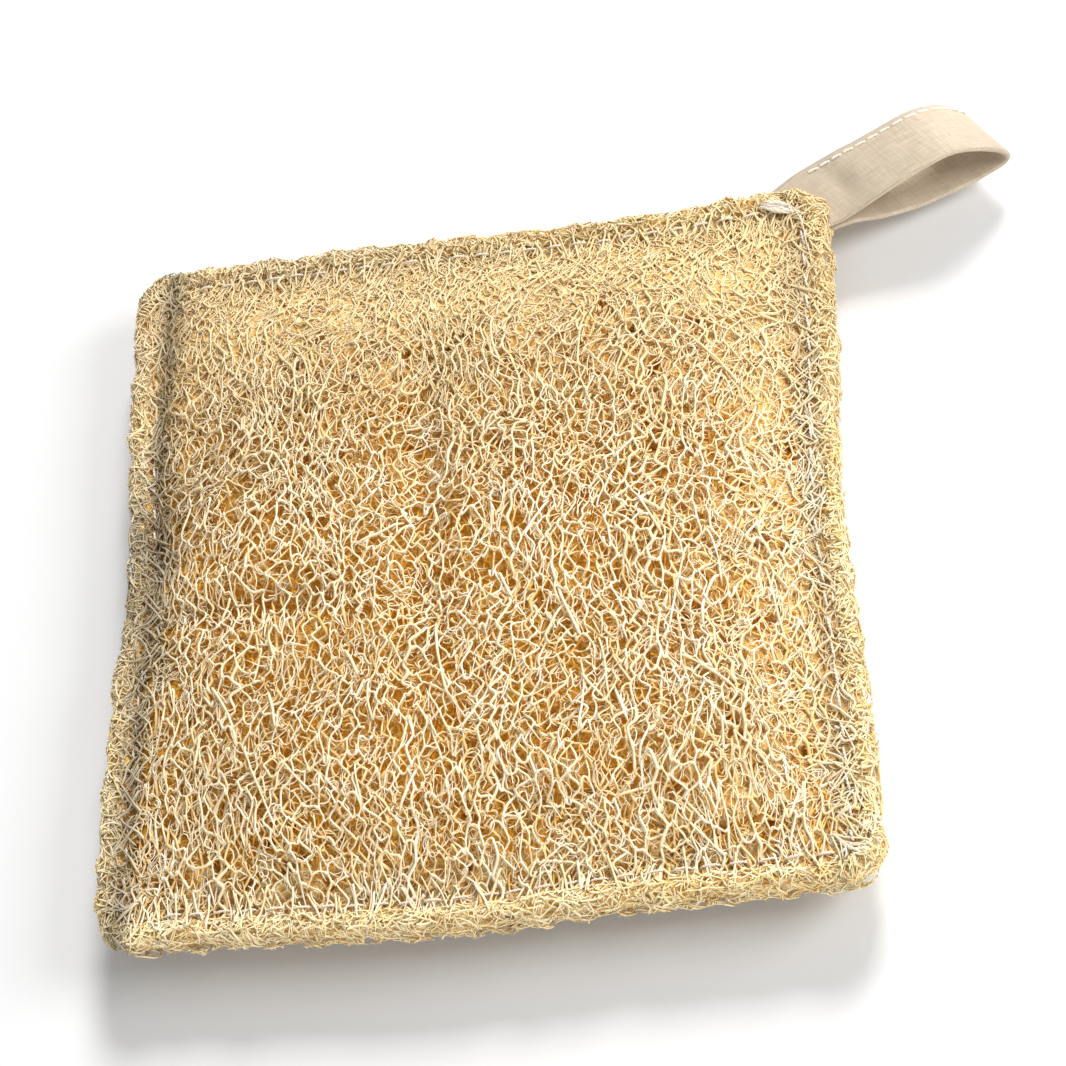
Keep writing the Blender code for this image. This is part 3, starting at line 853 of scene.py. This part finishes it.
# A two-ply twisted thread along a row of points
def twistedThread(run, radius, twist):
    steps = travelAlong(run)
    way = np.gradient(run, axis=0)
    way /= np.linalg.norm(way, axis=1)[:, None]
    side = np.cross(way, [0, 0, 1.0])
    side /= np.maximum(np.linalg.norm(side, axis=1), 1e-6)[:, None]
    up = np.cross(side, way)
    plies = []
    for start in (0, math.pi):
        angle = (start + math.tau * steps / twist)[:, None]
        ply = run + radius * 0.8 * (np.cos(angle) * side + np.sin(angle) * up)
        plies.append((ply, np.full(len(ply), radius)))
    return plies


def buildSeam(name, side, node):
    count = int(outlineLength / stitch["pitch"])
    rng = np.random.default_rng(500 + side)
    strands = []
    for k in range(count):
        share = np.linspace(-1, 1, stitch["points"])
        centre = (k + 0.5 + rng.uniform(-0.06, 0.06)) * outlineLength / count
        slant = stitch["slant"] * rng.uniform(0.5, 1.5)
        places = [outlinePlace((centre + stitch["long"] / 2 * s) % outlineLength,
                               pad["seamInset"] + slant * s) for s in share]
        u, v = np.array(places).T
        height = pad["seamHeight"] + rng.uniform(*stitch["lie"])
        if side > 0:
            height = height + 0.9 * (faceHeight(u, v, pad["topSpread"]) - pad["seamHeight"])
            height = height - 0.6 * riseShare(-u, 50, 8)  # buried on the left
        sunk = stitch["dip"] * np.abs(share) ** 4
        z = pad["middle"] + side * (height - sunk)
        run = np.stack([*handCut(u, v), z], axis=1)
        strands += twistedThread(run, stitch["plyRadius"], stitch["twist"])
    fibrePiece(name, strands, seamThread, node, "seam_thread")


# The back tack at the loop's corner: rows of stitches sewn over each other
backTack = {
    "from": (53.2, 59.3), "to": (59.4, 57.9), "width": 3.4, "rows": 26, "height": 12.8,
    "radius": 0.17, "seed": 560,
    # the thread that runs on from it down the right side's seam
    "tail": ((58.4, 58.9, 12.9), (59.5, 57.8, 13.1), (60.4, 56.0, 12.7), (60.9, 54.0, 13.0),
             (61.2, 50.6, 12.6), (61.6, 48.0, 12.9), (61.8, 45.5, 12.0)),
}


def buildBackTack():
    rng = np.random.default_rng(backTack["seed"])
    first, last = np.array(backTack["from"]), np.array(backTack["to"])
    way = (last - first) / np.linalg.norm(last - first)
    across = np.array([-way[1], way[0]])
    steps = np.linspace(0, 1, 7)[:, None]
    strands = []
    for _ in range(backTack["rows"]):
        start = first + way * rng.uniform(-0.3, 1.4)
        end = last - way * rng.uniform(-0.3, 1.6)
        spread = rng.uniform(-0.5, 0.5) * backTack["width"] * np.sqrt(np.sin(math.pi * steps))
        spread = spread * (0.35 + 0.65 * steps) + 0.5 * (1 - steps)
        flat = start + (end - start) * steps + across * (spread + rng.uniform(-0.35, 0.35))
        rise = backTack["height"] + rng.uniform(-0.2, 0.35) - 1.2 * (2 * steps - 1) ** 6
        run = np.hstack([flat, rise])
        strands += twistedThread(run, backTack["radius"], 1.4)
    strands += twistedThread(smoothed(np.array(backTack["tail"]), 5), 0.1, 1.1)
    fibrePiece("backTackStitches", strands, seamThread, "seam_needle_thread", "seam_thread")


# The hanging loop: a strip of cotton and linen cloth, folded lengthwise along
# its near edge, with both plies bent round and sewn in at the corner
loop = {
    "base": (63.1, 61.8), "azimuth": 20.5, "sideAzimuth": -58.0,
    "nearHalf": 7.3, "farHalf": 7.0, "tailFarHalf": 3.0, "tail": 9.5,
    "narrowFrom": 6.0,
    "flatShare": 0.27, "flatStart": 12.0, "flatHeight": 4.5,
    "profile": (
        (-9.5, 9.6), (-3.0, 9.6), (1.5, 9.9), (6.0, 11.0), (12.0, 12.9), (18.0, 14.3),
        (24.0, 14.8), (28.5, 12.9), (32.1, 8.8), (33.4, 6.3), (32.5, 4.9), (30.3, 4.3),
        (25.0, 3.6), (17.0, 3.6), (9.0, 5.2), (4.5, 7.1), (1.5, 8.1), (-3.0, 8.4),
        (-9.5, 8.4),
    ),
    "steps": 5, "plyGap": 0.26, "cloth": 0.4, "across": 13, "fold": 5,
    # the near edge of the upper ply sags before the bend, and the cloth has one
    # crease across it where it leaves the pad
    "nearSag": (1.3, 27.0, 5.0), "crease": (0.8, 14.8, 2.2), "ripple": 0.08,
}
loopRipple = waves(np.random.default_rng(620), 9.0)


def loopPlace(along, height, sideways):
    farShare = 0.5 - sideways / (loop["nearHalf"] + loop["farHalf"])
    flatter = loop["flatShare"] * farShare * np.clip(along / loop["flatStart"], 0, 1)
    height = height - flatter * (height - loop["flatHeight"])
    sag, place, reach = loop["nearSag"]
    upper = riseShare(height, 6, 5)
    height = height - sag * upper * (1 - farShare) ** 2 * np.exp(-((along - place) / reach) ** 2)
    a, s = math.radians(loop["azimuth"]), math.radians(loop["sideAzimuth"])
    x = loop["base"][0] + along * math.cos(a) + sideways * math.cos(s)
    y = loop["base"][1] + along * math.sin(a) + sideways * math.sin(s)
    return np.stack([x, y, height], axis=-1)


def loopRoute():
    route = smoothed(np.array(loop["profile"]), loop["steps"])
    way = np.gradient(route, axis=0)
    way /= np.linalg.norm(way, axis=1)[:, None]
    out = np.stack([-way[:, 1], way[:, 0]], axis=1)
    return route, out, travelAlong(route)


# How far the cloth stands out from the loop's plain shape
def clothSwell(length, sideways):
    deep, place, reach = loop["crease"]
    return (loop["ripple"] * loopRipple(length, sideways)
            - deep * np.exp(-((length - place) / reach) ** 2 - (sideways / 4.5) ** 2))


def farHalf(along):
    left = riseShare(-along, -loop["narrowFrom"], loop["tail"] + loop["narrowFrom"])
    return loop["farHalf"] - (loop["farHalf"] - loop["tailFarHalf"]) * left ** 2


# Undyed cotton and linen in a plain weave, with uneven yarns, painted shade between them, and
# painted shade greying the cloth where it leaves the pad and at its bend
clothLook = {
    "finish": (0.85, 0.15), "sheen": 0.12, "yarn": 0.36, "thin": "bfae98",
    "thick": "dbccb6", "between": "97866f", "clothShade": "ab9c8a",
}


def clothMaterial():
    material, tree, shader = newMaterial("plain_weave_cotton_linen", *clothLook["finish"])
    shader.inputs["Sheen Weight"].default_value = clothLook["sheen"]
    place = addNode(tree, "UVMap", {"uv_map": "UVMap"}, {}).outputs["UV"]
    split = addNode(tree, "SeparateXYZ", {}, {"Vector": place})
    # the UVs are in millimetres
    wobble = addNode(tree, "TexNoise", {"Scale": 0.8}, {"Vector": place})
    squares, slubs = [], []
    for axis, stretch in (("X", (2.4, 0.22, 1)), ("Y", (0.22, 2.4, 1))):
        moved = addNode(tree, "Math", {"operation": "MULTIPLY_ADD", 1: 0.5},
                        {0: wobble, 2: split.outputs[axis]})
        turn = addNode(tree, "Math", {"operation": "MULTIPLY", 1: math.pi / clothLook["yarn"]},
                       {0: moved})
        way = addNode(tree, "Math", {"operation": "SINE"}, {0: turn})
        squares.append(addNode(tree, "Math", {"operation": "MULTIPLY"},
                               {0: way, 1: way}))
        long = addNode(tree, "Mapping", {"Scale": stretch}, {"Vector": place})
        slubs.append(addNode(tree, "TexNoise", {"Scale": 1.0},
                             {"Vector": long}))
    weave = addNode(tree, "Math", {"operation": "MULTIPLY_ADD", 1: 0.55},
                    {0: squares[1], 2: squares[0]})
    slub = addNode(tree, "Math", {"operation": "ADD"}, {0: slubs[0], 1: slubs[1]})
    uneven = addNode(tree, "MapRange", {"From Min": 0.7, "From Max": 1.3}, {"Value": slub})
    shade = addNode(tree, "Mix", {
        "data_type": "RGBA", 6: linear(clothLook["thin"]), 7: linear(clothLook["thick"])},
        {"Factor": uneven})
    # painted shade between the yarns, darker where the weave dips
    level = addNode(tree, "MapRange", {
        "From Min": 0.0, "From Max": 1.4, "To Min": 0.4, "To Max": 0.0},
        {"Value": weave})
    woven = addNode(tree, "Mix", {"data_type": "RGBA", 7: linear(clothLook["between"])},
                    {"Factor": level, 6: shade})
    # painted shade: greyer where it leaves the pad and at its bend
    spot = addNode(tree, "TexCoord", {}, {}).outputs["Object"]
    apart = addNode(tree, "SeparateXYZ", {}, {"Vector": spot})
    root = addNode(tree, "MapRange", {
        "From Min": 66 * mm, "From Max": 80 * mm, "To Min": 0.45, "To Max": 0.0},
        {"Value": apart.outputs["X"]})
    bent = addNode(tree, "MapRange", {"From Min": 86 * mm, "From Max": 97 * mm, "To Max": 0.5},
                   {"Value": apart.outputs["X"]})
    clothShade = addNode(tree, "Math", {"operation": "MAXIMUM"}, {0: root, 1: bent})
    colour = addNode(tree, "Mix", {"data_type": "RGBA", 7: linear(clothLook["clothShade"])},
                     {"Factor": clothShade, 6: woven})
    bump = addNode(tree, "Bump", {"Strength": 0.5, "Distance": 0.08 * mm}, {"Height": weave})
    linkInto(tree, shader, {"Base Color": colour, "Normal": bump})
    return material


def buildLoop(stitches):
    route, out, travelled = loopRoute()
    # across the strip: the outer ply from the far edge, round the fold, back inside
    across, fold = loop["across"], loop["fold"]
    bend = loop["plyGap"]
    flat = [k / (across - 1) for k in range(across)]
    turns = [math.pi * k / (fold + 1) for k in range(1, fold + 1)]
    sides = flat + [("fold", math.sin(turn)) for turn in turns] + [1 - share for share in flat]
    lifts = [1.0] * across + [math.cos(turn) for turn in turns] + [-1.0] * across
    mesh = bmesh.new()
    uvLayer = mesh.loops.layers.uv.new("UVMap")
    grid, uvs = [], {}
    for centre, normal, length in zip(route, out, travelled):
        far, near = -farHalf(centre[0]), loop["nearHalf"] - bend - 0.2
        line = []
        width = 0.0
        previous = None
        for side, lift in zip(sides, lifts):
            if isinstance(side, tuple):
                sideways = near + bend * 1.3 * side[1]
            else:
                sideways = far + (near - far) * side
            edge = min(max((sideways - far) / 2.5, 0), 1)
            pillow = bend * lift * (0.75 + 0.45 * edge)
            swell = clothSwell(length, sideways)
            place = centre + normal * (pillow + swell)
            point = loopPlace(np.array(place[0]), np.array(place[1]), np.array(sideways))
            if previous is not None:
                width += float(np.linalg.norm(point - previous))
            previous = point
            vert = mesh.verts.new(point * mm)
            uvs[vert] = (width, length)
            line.append(vert)
        grid.append(line)
    for first, second in zip(grid, grid[1:]):
        for a, b, c, d in zip(first, first[1:], second[1:], second):
            face = mesh.faces.new((a, d, c, b))
            for corner in face.loops:
                corner[uvLayer].uv = uvs[corner.vert]
    bmesh.ops.recalc_face_normals(mesh, faces=mesh.faces)
    data = bpy.data.meshes.new("hangLoopCloth")
    mesh.to_mesh(data)
    mesh.free()
    piece = addObject("hangLoopCloth", data)
    bpy.context.view_layer.objects.active = piece
    solid = piece.modifiers.new("cloth", "SOLIDIFY")
    solid.thickness = loop["cloth"] * mm
    solid.offset = 0
    bpy.ops.object.select_all(action="DESELECT")
    piece.select_set(True)
    bpy.ops.object.modifier_apply(modifier="cloth")
    bpy.ops.object.shade_smooth()
    finishPiece(piece, clothMaterial(), "cotton_tape", "hang_loop_tape")
    length = float(travelled[-1]) * mm


topstitch = {"inset": 1.4, "pitch": 2.5, "long": 2.1, "plyRadius": 0.17, "proud": 0.64}


def buildTopstitch():
    route, out, travelled = loopRoute()
    strands = []
    start = 12.0
    while start < travelled[-1] - 12:
        at = np.linspace(start, start + topstitch["long"], 6)
        centre = np.stack([np.interp(at, travelled, route[:, k]) for k in (0, 1)], axis=1)
        normal = np.stack([np.interp(at, travelled, out[:, k]) for k in (0, 1)], axis=1)
        sideways = topstitch["inset"] - farHalf(centre[:, 0])
        rise = topstitch["proud"] - 0.35 * np.abs(np.linspace(-1, 1, 6)) ** 8
        rise = rise + clothSwell(at, sideways)
        place = centre + normal * rise[:, None]
        run = loopPlace(place[:, 0], place[:, 1], sideways)
        strands += twistedThread(run, topstitch["plyRadius"], 1.0)
        start += topstitch["pitch"]
    return fibrePiece("loopTopstitch", strands, topThread, "loop_topstitch_thread",
                      "topstitch_thread")


# The floor, the light and the camera. The key light comes from the right, a wide
# one from the far side throws the shadow in front, and a low weak one fills the
# near rim. Each has its place and size in metres and its power
studio = {
    "floorSize": 4.0,
    "floorDrop": 0.3,
    "floor": "e9e9e9",
    "room": 0.27,
    "lights": {
        "keyLight": ((0.53, 0.05, 0.373), 0.32, 2.85),
        "farLight": ((0.34, 1.55, 1.22), 0.6, 43),
        "nearFill": ((0.08, -0.95, 0.26), 0.5, 4.6),
    },
}


def buildStage():
    bpy.ops.mesh.primitive_plane_add(
        size=studio["floorSize"], location=(0, 0, -studio["floorDrop"] * mm))
    floor = bpy.context.object
    floor.name = "paleFloor"
    material, _, shader = newMaterial("matt_white_paper", 0.9, 0.1)
    shader.inputs["Base Color"].default_value = linear(studio["floor"])
    floor.data.materials.append(material)
    world = bpy.data.worlds.new("softRoom")
    bpy.context.scene.world = world
    world.use_nodes = True
    background = world.node_tree.nodes["Background"]
    background.inputs["Color"].default_value = (1, 1, 1, 1)
    background.inputs["Strength"].default_value = studio["room"]
    bpy.context.scene.view_settings.view_transform = "Standard"
    for name, (place, size, power) in studio["lights"].items():
        light = bpy.data.lights.new(name, "AREA")
        light.size = size
        light.energy = power
        lamp = addObject(name, light)
        lamp.location = place
        lamp.rotation_euler = (-Vector(place)).to_track_quat("-Z", "Y").to_euler()
    print("floor, world and", len(studio["lights"]), "lights")


view = {
    "place": (76.6, -162.98, 303.22),
    "right": (0.9746, -0.0082, -0.2239),
    "up": (0.1136, 0.8794, 0.4622),
    "back": (0.1931, -0.4759, 0.858),
    "focalPixels": 2000,
    "imagePixels": 1066,
}


def buildCamera():
    data = bpy.data.cameras.new("photoCamera")
    data.sensor_width = 36
    data.lens = 36 * view["focalPixels"] / view["imagePixels"]
    data.clip_start = 0.01
    camera = addObject("photoCamera", data)
    turn = Matrix([view["right"], view["up"], view["back"]]).transposed()
    camera.matrix_world = Matrix.Translation(Vector(view["place"]) * mm) @ turn.to_4x4()
    bpy.context.scene.camera = camera


buildTopLayer()
buildBottomLayer()
buildMat("loofah_top_mat", 1, pad["topSpread"], "loofah_top_layer")
buildMat("loofah_bottom_mat", -1, pad["bottomSpread"], "loofah_bottom_layer")
buildFringe("loofah_top_cutEnds", 1, fringe["topCount"], "loofah_top_layer")
buildFringe("loofah_bottom_cutEnds", -1, fringe["bottomCount"], "loofah_bottom_layer")
buildGrooveStrands()
buildSeam("seamTopStitches", 1, "seam_needle_thread")
buildSeam("seamBottomStitches", -1, "seam_bobbin_thread")
buildBackTack()
buildLoop(buildTopstitch())
buildStage()
buildCamera()
